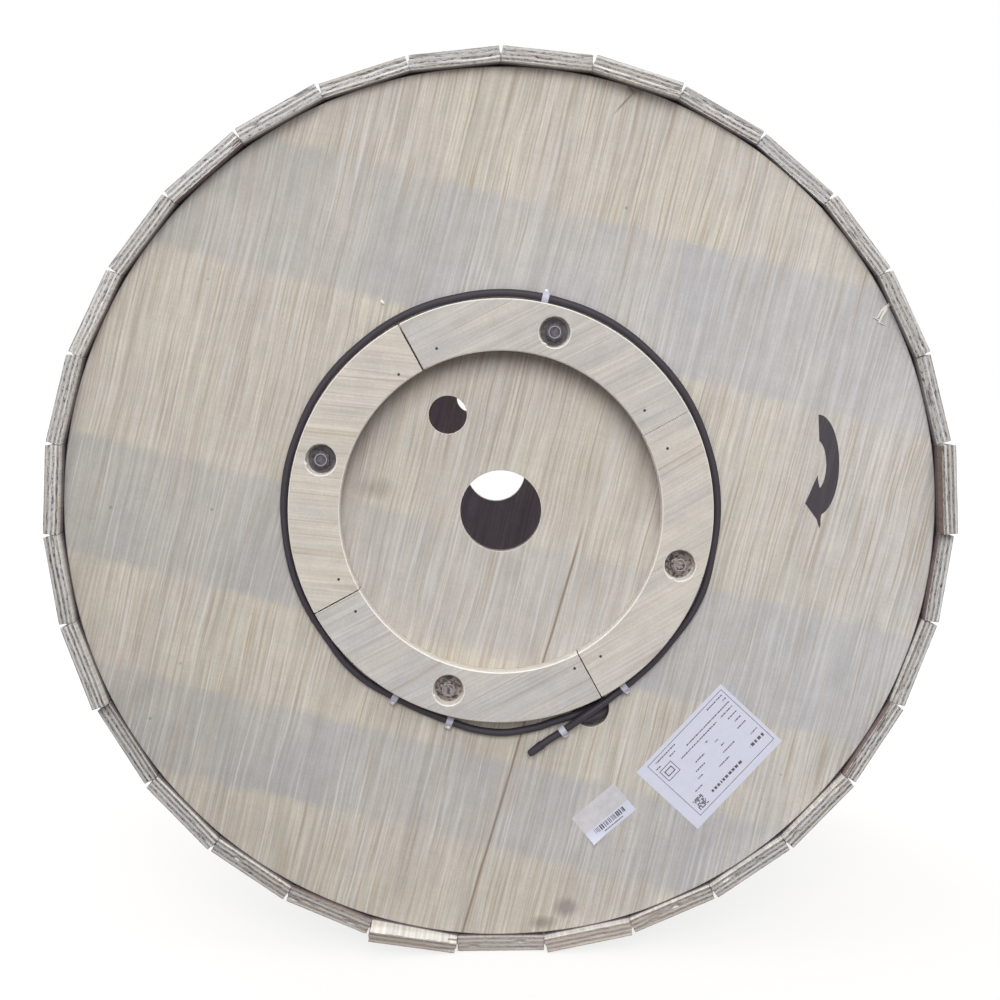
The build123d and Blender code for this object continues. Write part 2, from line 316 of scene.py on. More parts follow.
    # Painted shade in the corner between the flange and the upper half of the ring, where the ring's shadow
    # falls
    corner = add("MapRange", radius, 0.158, 0.184, 0.06, 0.5)
    upper = add("MapRange", add("SeparateXYZ", place).node.outputs["Z"], axis_height - 0.03,
                axis_height + 0.09)
    sheltered = add("Math MULTIPLY", inside, upper)
    recess_shade = add("Math MULTIPLY", corner, sheltered)
    dirty_and_shaded = overlay(add, streaked, *tints, (recess_shade, "5d5256"))
    relief = add("Math SUBTRACT", tone, split)
    sawn, height = sawn_edges(add, place, dirty_and_shaded, relief, "efece7", 3.0, 0.002, (*look.fresh_wood, 1),
                              linear("a8987f"), linear("6d5c4c"))
    # The painted shade line round the rim goes over the rest
    finish(add, shader, overlay(add, sawn, (joint, "5a4e53")), height, 0.0006)
    return material


def ring_plywood(look, index, lean, greying):
    """Poplar plywood of a ring segment: paler veneer with thin growth lines at the segment's own lean."""
    material, add, shader, place = start_material(f"pale_poplar_plywood_{index}", 0.75, 1.5)
    lay = add("Mapping TEXTURE", place, Location=(0.3 * index, 0, axis_height), Rotation=(0, lean, 0))
    cloud = stretched_noise(add, lay, (0.035, 0.2, 0.12), 2.0)
    grey = add("MapRange", cloud, 0.35, 0.65, greying - 0.25, greying + 0.25)
    base = add("Mix RGBA", grey, (*look.ring_pale, 1), (*look.ring_grey, 1))
    tone = streaks(add, lay, ((0.020, 1.2, 0.05), (0.008, 0.35, 0.06), (0.0024, 0.12, 0.11)))
    streaked = add("HueSaturation", Value=mottled_value(add, place, tone), Color=base)
    pale = sparse_streaks(add, lay, 0.0030, 0.16, 1.0, 0.35)
    lines = grain_lines(add, lay, 0.046, 1.8, 0.009)
    faint_lines = add("Math MULTIPLY", lines, 0.38)
    lined = overlay(add, streaked, (pale, "e2ddd4"), (faint_lines, "a08c74"))
    colour, height = sawn_edges(add, place, lined, tone, "f3efe9", 5.0 + index, 0.0021, linear("f6f3ee"),
                                linear("efe9df"), linear("d6cbba"))
    finish(add, shader, colour, height, 0.0005)
    return material


def board_plywood(look, sizes):
    """Rough-sawn poplar plywood boards: clean veneer inside, greyed outside, ragged plies on cut edges."""
    material, add, shader, place = start_material("rough_sawn_poplar_boards", 0.8, 1.5)
    seed = add("ObjectInfo").node.outputs["Random"]
    apart = add("Math MULTIPLY", seed, 7.0)
    shift = add("CombineXYZ", apart, apart)
    moved = add("VectorMath ADD", place, shift)
    through = add("SeparateXYZ", place).node.outputs["Z"]
    edge_colour, edge_height = sawn_plies(add, moved, through, apart, sizes.ply_thickness,
                                          (*look.board_light, 1), (*look.board_dark, 1), linear("43383b"))
    # Each board has aged differently, some warm, some grey, and the low ones are darker
    spot = add("SeparateXYZ", add("NewGeometry").node.outputs["Position"])
    high = spot.node.outputs["Z"]
    clean = add("MapRange", high, 0.0, 2 * axis_height, 0.84, 1.06)
    own = add("MapRange", seed, 0.0, 1.0, 0.92, 1.06)
    right = add("MapRange", spot, 0.1, flange_radius, 1.0, 0.86)
    # The boards at the lower left are the darkest
    low_left = add("Math ADD", spot, high)
    low_left_dark = add("MapRange", low_left, axis_height - 0.74, axis_height - 0.45, 0.76, 1.0)
    fresh = add("Math MULTIPLY", clean, right)
    darkened_tone = add("Math MULTIPLY", fresh, low_left_dark)
    age = add("Math MULTIPLY", darkened_tone, own)
    warmth = add("Math FRACT", apart)
    richness = add("MapRange", warmth, 0.0, 1.0, 0.55, 1.15)
    # Floor dirt evens out the plies of the low boards
    soil = add("MapRange", high, 0.0, 0.12, 0.75, 0.0)
    dirt_and_shade = overlay(add, edge_colour, (soil, "c6b3a3"))
    aged_edge = add("HueSaturation", Value=age, Saturation=richness, Color=dirt_and_shade)
    # Veneer with its grain along the board
    lay = add("Mapping TEXTURE", moved, Rotation=(pi / 2, 0, 0))
    tone = streaks(add, lay, ((0.022, 1.1, 0.06), (0.006, 0.40, 0.11), (0.0024, 0.14, 0.15)))
    lines = grain_lines(add, lay, 0.034, 0.9, 0.016)
    outer = add("MapRange", through, 0.006, 0.012)
    weather = stretched_noise(add, lay, (0.035, 0.2, 0.36), 3.0)
    grey = add("MapRange", weather, 0.35, 0.65)
    worn = add("Mix RGBA", grey, (*look.flange_yellow, 1), (*look.flange_grey, 1))
    # The inner face has the board's own colour, and painted shade beside the flange where its alpha says so
    board = add("ObjectInfo")
    inward = add("Math ABSOLUTE", add("SeparateXYZ", place).node.outputs["Y"])
    beside = add("MapRange", inward, -flange_face + 0.008, -flange_face + 0.013, 1.0, 0.0)
    face_shade = add("Math MULTIPLY", beside, board.node.outputs["Alpha"])
    # Painted shade in the seam where the board meets the flange, wider on the left
    wider = add("MapRange", spot, -0.35, 0.0, -0.0035, 0.0)
    off_seam = add("Math ADD", inward, wider)
    seam = add("MapRange", off_seam, -flange_face + 0.0012, -flange_face + 0.004, 0.85, 0.0)
    face_and_seam_shade = add("Math MAXIMUM", face_shade, seam)
    inner = overlay(add, board.node.outputs["Color"], (face_and_seam_shade, "62565f"))
    skin = add("Mix RGBA", outer, inner, worn)
    streaked = add("HueSaturation", Value=mottled_value(add, moved, tone), Color=skin)
    # Growth lines, and pale and brown streaks on the outer face
    faint_lines = add("Math MULTIPLY", lines, 0.14)
    pale = add("Math MULTIPLY", sparse_streaks(add, lay, 0.0034, 0.2, 1.0, 0.5), outer)
    brown = add("Math MULTIPLY", sparse_streaks(add, lay, 0.003, 0.18, 2.0, 0.6), outer)
    veneer = overlay(add, streaked, (faint_lines, "8f7d6a"), (pale, "d6d5d5"), (brown, "a8957f"))
    normal = add("SeparateXYZ", place.node.outputs["Normal"])
    facing = add("Math ABSOLUTE", normal.node.outputs["Z"])
    flat = add("Math GREATER_THAN", facing, 0.75)
    colour = add("Mix RGBA", flat, aged_edge, veneer)
    height = add("Mix", flat, edge_height, tone)
    finish(add, shader, colour, height, 0.0008)
    return material


def stave_plywood():
    """Plain poplar plywood of the barrel, unweathered, seen only through the holes."""
    material, add, shader, place = start_material("barrel_poplar_plywood", 0.75, 1.5)
    lay = add("Mapping TEXTURE", place, Rotation=(pi / 2, 0, 0))
    tone = streaks(add, lay, ((0.018, 0.9, 0.06), (0.004, 0.25, 0.09)))
    streaked = add("HueSaturation", Value=tone, Color=linear("b9a88f"))
    finish(add, shader, streaked, tone, 0.0005)
    return material


def dull_steel(name, colour, roughness, dust=0.0):
    """Plated or blackened steel gone dull: metal blotched by tarnish, with dust on it."""
    material, add, shader, place = start_material(name, roughness)
    blotch = add("TexNoise", place, Scale=260.0, Detail=3.0)
    shade = add("MapRange", blotch, 0.3, 0.7, 0.6, 1.25)
    mottled = add("HueSaturation", Value=shade, Color=colour)
    # Dust lies thicker towards the right and the bottom
    parts = add("SeparateXYZ", place)
    side = add("Math SUBTRACT", parts, parts.node.outputs["Z"])
    thick = add("MapRange", side, -axis_height - 0.12, -axis_height + 0.12, 0.1 * dust, dust)
    patch = add("MapRange", blotch, 0.4, 0.58)
    dusted = add("Math MULTIPLY", thick, patch)
    colour = overlay(add, mottled, (dusted, "a89c90"))
    bare = add("MapRange", dusted, 0.0, 1.0, 0.85, 0.0)
    grit = add("MapRange", blotch, 0.0, 1.0, roughness - 0.12, roughness + 0.15)
    wire(shader, Base_Color=colour, Metallic=bare, Roughness=grit)
    return material


def cable_sheath(name, colour, dusty):
    """Extruded black polyethylene: satin, with faint scuffs and a dusty bloom."""
    material, add, shader, place = start_material(name, 0.48, 1.51)
    shader.inputs["Specular IOR Level"].default_value = 0.3
    dust = add("TexNoise", place, Scale=90.0, Detail=4.0)
    bloom = add("MapRange", dust, 0.35, 0.75, 0.0, 0.25)
    colour = add("Mix RGBA", bloom, colour, dusty)
    scuff = add("MapRange", dust, 0.0, 1.0, 0.4, 0.6)
    wire(shader, Base_Color=colour, Roughness=scuff)
    return material


def clip_plastic(name, colour):
    """Moulded pale nylon: smooth, slightly bluish, with a soft mould grain."""
    material, add, shader, place = start_material(name, 0.45, 1.53)
    grain = add("TexNoise", place, Scale=700.0, Detail=2.0)
    shade = add("MapRange", grain, 0.0, 1.0, 0.92, 1.06)
    tinted = add("HueSaturation", Value=shade, Color=colour)
    finish(add, shader, tinted, grain, 0.0001)
    return material


def label_paper(name, colour, fibre_strength):
    """Uncoated paper, and frosted film or torn fibre like it: matt and even, with a faint fibre cloud."""
    material, add, shader, place = start_material(name, 0.7, 1.5)
    cloud = add("TexNoise", place, Scale=120.0, Detail=4.0)
    shade = add("MapRange", cloud, 0.3, 0.7, 1 - fibre_strength, 1 + fibre_strength)
    mottled = add("HueSaturation", Value=shade, Color=colour)
    finish(add, shader, mottled, cloud, 0.00005)
    return material


def black_ink(look, name, ink, worn):
    """Stencil or printing ink: flat black, thinner along the veneer's streaks."""
    material, add, shader, place = start_material(name, 0.65, 1.5)
    lay = add("Mapping TEXTURE", place, Location=(0, 0, axis_height), Rotation=(0, look.flange_lean, 0),
              Scale=(0.004, 0.2, 0.12))
    rub = add("TexNoise", lay, Scale=1.0, Detail=3.0)
    thin = add("MapRange", rub, 0.45, 0.8, 0.0, worn)
    wire(shader, Base_Color=overlay(add, ink, (thin, "8b8178")))
    return material


def new_object(name, data):
    """Object put into the scene."""
    thing = bpy.data.objects.new(name, data)
    bpy.context.scene.collection.objects.link(thing)
    return thing


def new_piece(name, points, faces, material, slot=None, smooth_angle=None):
    """Mesh object from points and faces, riding on the drum."""
    mesh = bpy.data.meshes.new(name)
    mesh.from_pydata([tuple(p) for p in points], [], faces)
    shape = bmesh.new()
    shape.from_mesh(mesh)
    bmesh.ops.recalc_face_normals(shape, faces=shape.faces)
    shape.to_mesh(mesh)
    shape.free()
    if smooth_angle is not None:
        mesh.shade_smooth()
        mesh.set_sharp_from_angle(angle=smooth_angle)
    mesh.materials.append(material)
    piece = new_object(name, mesh)
    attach(piece, "root")
    return piece


def numbered(start, count, size):
    """Point numbers of rings of one size that follow each other."""
    return [range(start + size * k, start + size * (k + 1)) for k in range(count)]


def bands(rings):
    """Faces between each ring of point numbers and the next, each ring closed."""
    faces = []
    for before, after in zip(rings, rings[1:]):
        for k in range(len(before)):
            following = (k + 1) % len(before)
            faces.append((before[k], before[following], after[following], after[k]))
    return faces


def grid_faces(start, rows, columns):
    """Faces of a grid of points that are numbered row by row."""
    corners = [k for row in numbered(start, rows - 1, columns) for k in row[:-1]]
    return [(k, k + 1, k + columns + 1, k + columns) for k in corners]


def dress(node, material):
    """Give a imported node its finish."""
    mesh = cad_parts[node].data
    mesh.materials.clear()
    mesh.materials.append(material)


def soften_edges(node, width):
    """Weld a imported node's faces and break its sharp edges."""
    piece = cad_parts[node]
    weld = piece.modifiers.new("weld", "WELD")
    weld.merge_threshold = 0.00001
    bevel = piece.modifiers.new("broken_edges", "BEVEL")
    bevel.width = width
    bevel.segments = 1
    bevel.limit_method = "ANGLE"
    bevel.angle_limit = radians(50)


def face_point(across, up, lift=0.0, face=None):
    """Point on the front flange, in millimetres from the axis as seen from the front, lifted off the face."""
    depth = (flange_face if face is None else face) - lift / 1000
    return Vector((across / 1000, depth, axis_height + up / 1000))


class DrumLook(bpy.types.PropertyGroup):
    """Colours of the drum and the lean of its grain."""

    flange_yellow: bpy.props.FloatVectorProperty(
        name="Flange veneer", description="Clean flange veneer", subtype="COLOR",
        default=linear("c8c1b8")[:3])
    flange_grey: bpy.props.FloatVectorProperty(
        name="Flange stain", description="Grey stain bands across the flange", subtype="COLOR",
        default=linear("b8b6b8")[:3])
    ring_pale: bpy.props.FloatVectorProperty(
        name="Ring veneer", description="Clean veneer of the hub rings", subtype="COLOR",
        default=linear("d0c8bd")[:3])
    ring_grey: bpy.props.FloatVectorProperty(
        name="Ring stain", description="Greyed veneer of the hub rings", subtype="COLOR",
        default=linear("bcb8b6")[:3])
    fresh_wood: bpy.props.FloatVectorProperty(
        name="Fresh wood", description="Cut edges and unweathered veneer", subtype="COLOR",
        default=linear("e0dcd5")[:3])
    film_brown: bpy.props.FloatVectorProperty(
        name="Film", description="Brown film on the inner face of some boards", subtype="COLOR",
        default=linear("8a7871")[:3])
    board_light: bpy.props.FloatVectorProperty(
        name="Board ply, light", description="Lightest ply on the board ends", subtype="COLOR",
        default=linear("ecebeb")[:3])
    board_dark: bpy.props.FloatVectorProperty(
        name="Board ply, dark", description="Darkest ply on the board ends", subtype="COLOR",
        default=linear("9e9184")[:3])
    cable_black: bpy.props.FloatVectorProperty(
        name="Cable", description="Cable sheath", subtype="COLOR", default=linear("37323a")[:3])
    clip_pale: bpy.props.FloatVectorProperty(
        name="Clips", description="Cable clips", subtype="COLOR", default=linear("bcbccb")[:3])
    paper_white: bpy.props.FloatVectorProperty(
        name="Label paper", description="Paper of the labels", subtype="COLOR", default=linear("d3d5e5")[:3])
    ink_black: bpy.props.FloatVectorProperty(
        name="Ink", description="Stencil and print", subtype="COLOR", default=linear("352f37")[:3])
    flange_lean: bpy.props.FloatProperty(
        name="Grain lean", description="Lean of the flange grain to the right", subtype="ANGLE",
        default=radians(14))


class DrumSizes(bpy.types.PropertyGroup):
    """Sizes of the pieces that are modelled here."""

    ply_thickness: bpy.props.FloatProperty(
        name="Ply", description="Thickness of one ply of the boards", unit="LENGTH", default=0.0026)
    flange_edge: bpy.props.FloatProperty(
        name="Flange edge", description="Wear along the edges of the flanges and their holes", unit="LENGTH",
        default=0.0019)
    ring_edge: bpy.props.FloatProperty(
        name="Ring edge", description="Wear along the edges of the ring segments", unit="LENGTH",
        default=0.0012)
    board_edge: bpy.props.FloatProperty(
        name="Board edge", description="Wear along the edges of the boards", unit="LENGTH", default=0.0006)
    end_skew: bpy.props.FloatProperty(
        name="End skew", description="Most that a board end is cut out of square", unit="LENGTH",
        default=0.0022)
    slant_cut: bpy.props.FloatProperty(
        name="Slant cut", description="How far the longest board's front end is cut aslant", unit="LENGTH",
        default=0.017)
    slant_bevel: bpy.props.FloatProperty(
        name="Slant bevel", description="Bevel along the inner edge of that end", unit="LENGTH",
        default=0.0055)
    board_nail: bpy.props.FloatProperty(
        name="Board nail", description="Head diameter of the board nails", unit="LENGTH", default=0.008)
    ring_nail: bpy.props.FloatProperty(
        name="Ring nail", description="Head diameter of the ring nails", unit="LENGTH", default=0.0034)
    clip_nail: bpy.props.FloatProperty(
        name="Clip nail", description="Head diameter of the clip nails", unit="LENGTH", default=0.004)
    cable: bpy.props.FloatProperty(
        name="Cable", description="Diameter of the cable in the winding", unit="LENGTH", default=0.009)
    page: bpy.props.FloatVectorProperty(
        name="Data label", description="Length and width of the large label", size=2, unit="LENGTH",
        default=(0.150, 0.104))
    tag: bpy.props.FloatVectorProperty(
        name="Bar label", description="Length and width of the small label", size=2, unit="LENGTH",
        default=(0.068, 0.043))


class StudioLight(bpy.types.PropertyGroup):
    """Light and floor of the studio."""

    overhead: bpy.props.FloatProperty(
        name="Overhead", description="Strength of the even light from above", default=1.0)
    below: bpy.props.FloatProperty(
        name="Below", description="Strength of the even light from below", default=0.12)
    key: bpy.props.FloatProperty(
        name="Key", description="Strength of the soft lamp in front", default=1.6)
    back: bpy.props.FloatProperty(
        name="Back", description="Strength of the soft lamp behind", default=1.0)
    inside: bpy.props.FloatProperty(
        name="Inside", description="Power of the dim lamp in the barrel", subtype="POWER", default=0.36)
    floor: bpy.props.FloatVectorProperty(
        name="Floor", description="Floor colour", subtype="COLOR", default=linear("7c7a78")[:3])


class DRUM_OT_flanges(bpy.types.Operator):
    """Finish both flanges in weathered plywood"""

    bl_idname = "drum.flanges"
    bl_label = "Flanges"

    def execute(self, context):
        wood = flange_plywood(context.scene.drum_look)
        for node in ("flange_front", "flange_back"):
            dress(node, wood)
            soften_edges(node, context.scene.drum_sizes.flange_edge)
        return {"FINISHED"}


class DRUM_OT_hub_rings(bpy.types.Operator):
    """Finish the ring segments, each with its own grain"""

    bl_idname = "drum.hub_rings"
    bl_label = "Hub rings"

    def execute(self, context):
        look, sizes = context.scene.drum_look, context.scene.drum_sizes
        # Lean of the grain and share of grey, from the top segment round by the left
        for index, (lean, greying) in enumerate(((64, 0.72), (96, 0.12), (63, 0.90), (60, 0.42)), start=1):
            wood = ring_plywood(look, index, radians(lean), greying)
            for side in ("front", "back"):
                dress(f"ring_segment_{side}_{index}", wood)
                soften_edges(f"ring_segment_{side}_{index}", sizes.ring_edge)
        return {"FINISHED"}


class DRUM_OT_fasteners(bpy.types.Operator):
    """Finish the rods, nuts and washers, and drive the nails"""

    bl_idname = "drum.fasteners"
    bl_label = "Fasteners"

    def execute(self, context):
        sizes = context.scene.drum_sizes
        zinc = dull_steel("dull_zinc_plate", linear("8d8a8b"), 0.45)
        dark = dull_steel("oiled_black_steel", linear("454047"), 0.5)
        dusty = dull_steel("dusty_black_steel", linear("5f5a61"), 0.6, 0.9)
        for node in ("washers", "hex_nuts", "tie_rods"):
            dress(node, dusty)
        # A nylon ring in the collar of each lock nut, set proud and pale as a painted highlight on the
        # collar, sizes in millimetres
        low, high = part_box("hex_nuts")
        points, faces = [], []
        radius, half_wide, half_thick = 6.9, 0.7, 0.5
        around, tube = 24, 6
        for y in (low.y, high.y):
            for turn in rod_turns:
                start = len(points)
                for i in range(around):
                    way = 2 * pi * i / around
                    for j in range(tube):
                        reach = radius + half_wide * cos(2 * pi * j / tube)
                        points.append(face_point(rod_circle * cos(turn) + reach * cos(way),
                                                 rod_circle * sin(turn) + reach * sin(way),
                                                 -half_thick * sin(2 * pi * j / tube), y))
                rings = numbered(start, around, tube)
                faces += bands(rings + rings[:1])
        nylon = clip_plastic("nylon_and_highlight", linear("9a97a2"))
        new_piece("nut_inserts", points, faces, nylon, None, radians(60))
        # Board nails: two through each board into the rim of each flange
        heads = []
        lane = (board_high.x - board_low.x) * 0.27
        thickness = board_high.z - board_low.z
        for index in range(len(board_names)):
            turn = board_turn(index)
            # Heads stand 0.2 mm proud, and those under the drum are pressed in level
            sunk = 0.0007 if index == 0 else 0.0004
            for y in (flange_face + flange_thickness / 2, -flange_face - flange_thickness / 2):
                for step in (-lane, lane):
                    spread = np.random.default_rng(900 + index).uniform(-0.006, 0.006, 2)
                    place = turn @ Vector((step + spread[0], y + spread[1] * 0.4, thickness - sunk))
                    heads.append((place, turn.to_3x3() @ Vector((0, 0, 1)), sizes.board_nail))
        new_piece("lagging_nails", *nail_heads(heads), zinc, "fastener_steel", radians(40))
        # Ring nails, two by each joint, sunk level with the wood
        heads = []
        for across, up in ((-75.7, 194.3), (-120.5, 163.9), (-193.3, -79.1), (-173.4, -117.6),
                           (169.5, 121.5), (197.1, 76.6), (119.2, -172.5), (88.1, -187.0)):
            for side in (1, -1):
                place = face_point(side * across, up, 0.0, side * ring_face)
                heads.append((place, Vector((0, -side, 0)), sizes.ring_nail))
        new_piece("ring_nails", *nail_heads(heads), dark, "fastener_steel", radians(40))
        return {"FINISHED"}


def nail_heads(heads):
    """Low domes at each place, along each axis, of each diameter."""
    points, faces = [], []
    sides = 12
    for place, axis, diameter in heads:
        first = axis.orthogonal().normalized()
        second = axis.cross(first)
        start = len(points)
        for share, rise in ((1.0, -0.06), (1.0, 0.03), (0.72, 0.07)):
            for step in range(sides):
                angle = 2 * pi * step / sides
                points.append(place + (first * cos(angle) + second * sin(angle)) * diameter / 2 * share
                              + axis * rise * diameter)
        points.append(place + axis * 0.08 * diameter)
        rings = numbered(start, 3, sides)
        faces += bands(rings)
        faces += [(rings[2][step], rings[2][(step + 1) % sides], start + 3 * sides) for step in range(sides)]
        faces.append(tuple(rings[0]))
    return points, faces


def board_turn(index):
    """Placement of a board: X across it, Y along it and Z outward from its inner face."""
    angle = radians(-90 + index * 360 / len(board_names))
    outward = Vector((cos(angle), 0, sin(angle)))
    across = Vector((sin(angle), 0, -cos(angle)))
    inner = axis_height - board_high.z
    place = Vector((0, 0, axis_height)) + outward * inner
    return Matrix((
        (across.x, 0, outward.x, place.x),
        (0, 1, 0, place.y),
        (across.z, 0, outward.z, place.z),
        (0, 0, 0, 1),
    ))


def sawn_end(rng, s, t, ply, skew, slant, bevel):
    """How far each point of a board's end lies behind its furthest point: plies, voids, skew and cuts."""
    wide = s[-1] - s[0]
    plies = int(round(t[-1] / ply))
    depth = np.zeros((len(s), len(t)))
    cross, long = rng.uniform(0.0002, 0.0006, plies), rng.uniform(0.0, 0.0003, plies)
    level = np.where(np.arange(plies) % 2 == 1, cross, long)
    for column, height in enumerate(t):
        share = height / ply
        nearest = int(np.clip(round(share), 0, plies))
        knots = np.linspace(s[0], s[-1], 22)
        fibre = np.interp(s, knots, rng.normal(0, 0.00005, 22))
        if abs(share - nearest) < 0.05 and 0 < nearest < plies:
            depth[:, column] = 0.0005 + np.abs(fibre)
        else:
            depth[:, column] = level[min(int(share), plies - 1)] + fibre
    depth *= (t >= bevel)[None, :]
    for _ in range(rng.integers(2, 5)):
        centre, reach = rng.uniform(s[0], s[-1]), rng.uniform(0.003, 0.012)
        layer = (rng.integers(1, plies - 1) + 0.5) * ply
        pit = np.outer(np.exp(-((s - centre) / reach) ** 4), np.exp(-((t - layer) / (0.6 * ply)) ** 4))
        depth += pit * rng.uniform(0.001, 0.003)
    depth += rng.uniform(-1, 1) * skew * (s / wide)[:, None]
    depth += rng.uniform(-1, 1) * 0.3 * skew * (t / t[-1])[None, :]
    # A slanted saw cut, and a bevel planed along the inner edge
    depth += slant * (0.5 - s / wide)[:, None] + 1.4 * np.clip(bevel - t, 0, None)[None, :]
    return depth - depth.min()


def board_shape(rng, width, thickness, low, high, sizes, front_cut):
    """Points and faces of one board, in its own frame."""
    last_s, last_t = 36, 27
    s = np.linspace(-width / 2, width / 2, last_s + 1)
    t = np.linspace(0, thickness, last_t + 1)
    rim = [(i, 0) for i in range(last_s)] + [(last_s, j) for j in range(last_t)]
    rim += [(i, last_t) for i in range(last_s, 0, -1)] + [(0, j) for j in range(last_t, 0, -1)]
    points, faces = [], []
    edge = sizes.board_edge
    ends = [sawn_end(rng, s, t, sizes.ply_thickness, sizes.end_skew, *cut) for cut in (front_cut, (0.0, 0.0))]
    # The sides lean out with the joint up to a seam, so that the inner parts of two boards nearly meet
    inner = axis_height - board_high.z
    play, step_back = 0.00012, 0.003
    meet = (inner + t) * np.tan(pi / len(board_names)) - width / 2 - play
    swell = []
    for seam in thickness * rng.uniform(0.25, 0.6, 2):
        fade = np.clip(1 - (t - seam) / step_back, 0, 1)
        swell.append(np.minimum(meet, meet[np.searchsorted(t, seam)]) * fade)
    lean = np.zeros((last_s + 1, last_t + 1))
    lean[0], lean[-1] = -swell[0], swell[1]
    # Which way wear moves a point of the rim: 1 in from the first side, -1 in from the last, 0 elsewhere
    pull_s = [(i == 0) - (i == last_s) for i in range(last_s + 1)]
    pull_t = [(j == 0) - (j == last_t) for j in range(last_t + 1)]
    rings = []
    for end, sign, tip in zip(ends, (1, -1), (low, high)):
        start = len(points)
        wear = edge * rng.uniform(0.5, 1.6, lean.shape)
        for i, j in np.ndindex(lean.shape):
            points.append((s[i] + lean[i, j] + wear[i, j] * pull_s[i], tip + sign * end[i, j],
                           t[j] + wear[i, j] * pull_t[j]))
        rings.append([start + i * (last_t + 1) + j for i, j in rim])
        faces += grid_faces(start, *lean.shape)
    # Rings along the board, at these distances from either end; the end's shape fades out on the way
    stations = [0.0012, 0.004, 0.012, 0.035, 0.10, 0.25]
    fade_length = 0.10
    middle = []
    for end, sign, tip, steps_in in zip(ends, (1, -1), (low, high), (stations, stations[::-1])):
        for step in steps_in:
            middle.append(range(len(points), len(points) + len(rim)))
            fade = max(0.0, 1 - step / fade_length)
            for i, j in rim:
                corner = 0.5 * edge * (pull_s[i] != 0 and pull_t[j] != 0)
                points.append((s[i] + lean[i, j] + corner * pull_s[i], tip + sign * (step + end[i, j] * fade),
                               t[j] + corner * pull_t[j]))
    return points, faces + bands([rings[0], *middle, rings[1]])


class DRUM_OT_lagging_boards(bpy.types.Operator):
    """Saw the lagging boards, with ragged plies on their ends"""

    bl_idname = "drum.lagging_boards"
    bl_label = "Lagging boards"

    def execute(self, context):
        look, sizes = context.scene.drum_look, context.scene.drum_sizes
        wood = board_plywood(look, sizes)
        # Share of brown film on the inner face, by the board's number
        film_shares = {1: 0.45, 6: 1.0, 8: 1.0, 9: 1.0, 20: 1.0, 30: 0.9}
        width, thickness = board_high.x - board_low.x, board_high.z - board_low.z
        for index, node in enumerate(board_names):
            low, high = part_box(node)
            front_cut = (sizes.slant_cut, sizes.slant_bevel) if index == len(board_names) - 1 else (0.0, 0.0)
            rng = np.random.default_rng(100 + index)
            points, faces = board_shape(rng, width, thickness, low.y, high.y, sizes, front_cut)
            name = f"sawn_board_{index + 1:02d}"
            board = new_piece(name, points, faces, wood, "board_plywood", radians(35))
            board.matrix_world = board_turn(index)
            # The colour of the inner face, and in its alpha the painted shade there, none on the low boards
            # that face up to the light
            upward = board.matrix_world[2][2]
            face_shade = 0.85 * min(1.0, max(0.0, (upward + 0.35) / 0.3))
            share = film_shares.get(index + 1, 0.0)
            face = (1 - share) * look.fresh_wood + share * look.film_brown
            board.color = (*face, face_shade)
            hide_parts(node)
        return {"FINISHED"}


class DRUM_OT_barrel(bpy.types.Operator):
    """Finish the barrel staves"""

    bl_idname = "drum.barrel"
    bl_label = "Barrel"

    def execute(self, context):
        dress("barrel_staves", stave_plywood())
        return {"FINISHED"}


class DRUM_OT_cable(bpy.types.Operator):
    """Finish the cable tail and its cap, and wind the turns of the cable"""

    bl_idname = "drum.cable"
    bl_label = "Cable"

    def execute(self, context):
        black = (*context.scene.drum_look.cable_black, 1)
        sheath = cable_sheath("black_polyethylene_sheath", black, linear("4a454d"))
        dress("cable_tail", sheath)
        dress("cable_end_cap", sheath)
        # The winding is turned from a line that waves once for each turn of the cable
        pitch = context.scene.drum_sizes.cable
        outer = (winding_high.x - winding_low.x) / 2
        half = (winding_high.y - winding_low.y) / 2
        node_points = np.array([v.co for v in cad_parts["cable_winding"].data.vertices])
        inner = np.hypot(node_points[:, 0], node_points[:, 2] - axis_height).min()
        layers, turns = int((outer - inner) / pitch), int(2 * half / pitch)
        dip = [pitch * 0.24 * abs(sin(pi * k / 4 + pi / 2)) ** 3 for k in range(4)]
        climb = (outer - inner) / (4 * layers)
        line = [(inner, -half + dip[0])]
        line += [(inner + climb * k, -half + dip[k % 4]) for k in range(1, 4 * layers)]
        line += [(outer - dip[k % 4], -half + 2 * half * k / (4 * turns)) for k in range(1, 4 * turns)]
        line += [(outer - climb * k, half - dip[k % 4]) for k in range(1, 4 * layers)]
        line += [(inner, half - dip[0])]
        steps = 64
        points = [(r * cos(2 * pi * a / steps), y, axis_height + r * sin(2 * pi * a / steps))
                  for a in range(steps) for r, y in line]
        rings = numbered(0, steps, len(line))
        # The winding is paler than the tail: painted light, as little lamp light reaches it through the hole
        dusty = cable_sheath("dusty_and_lit_polyethylene_sheath", linear("635d66"), linear("8a8488"))
        faces = bands(rings + rings[:1])
        winding = new_piece("wound_cable", points, faces, dusty, "cable_sheath", radians(60))
        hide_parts("cable_winding")
        return {"FINISHED"}


class DRUM_OT_clips(bpy.types.Operator):
    """Finish the cable clips and drive their nails"""

    bl_idname = "drum.clips"
    bl_label = "Cable clips"

    def execute(self, context):
        plastic = clip_plastic("moulded_pale_nylon", (*context.scene.drum_look.clip_pale, 1))
        # One nail through each foot, on the side away from the hub
        foot_height, off_middle = 0.008, 0.0062
        zinc = dull_steel("bright_clip_nail_steel", linear("c9c9d0"), 0.4)
        heads = []
        for node in sorted(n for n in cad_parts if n.startswith("cable_clip")):
            dress(node, plastic)
            low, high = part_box(node)
            middle = (low + high) / 2
            outward = Vector((middle.x, 0, middle.z - axis_height)).normalized()
            place = Vector((middle.x, flange_face - foot_height, middle.z)) + outward * off_middle
            heads.append((place, Vector((0, -1, 0)), context.scene.drum_sizes.clip_nail))
        new_piece("clip_nails", *nail_heads(heads), zinc, "fastener_steel", radians(40))
        return {"FINISHED"}


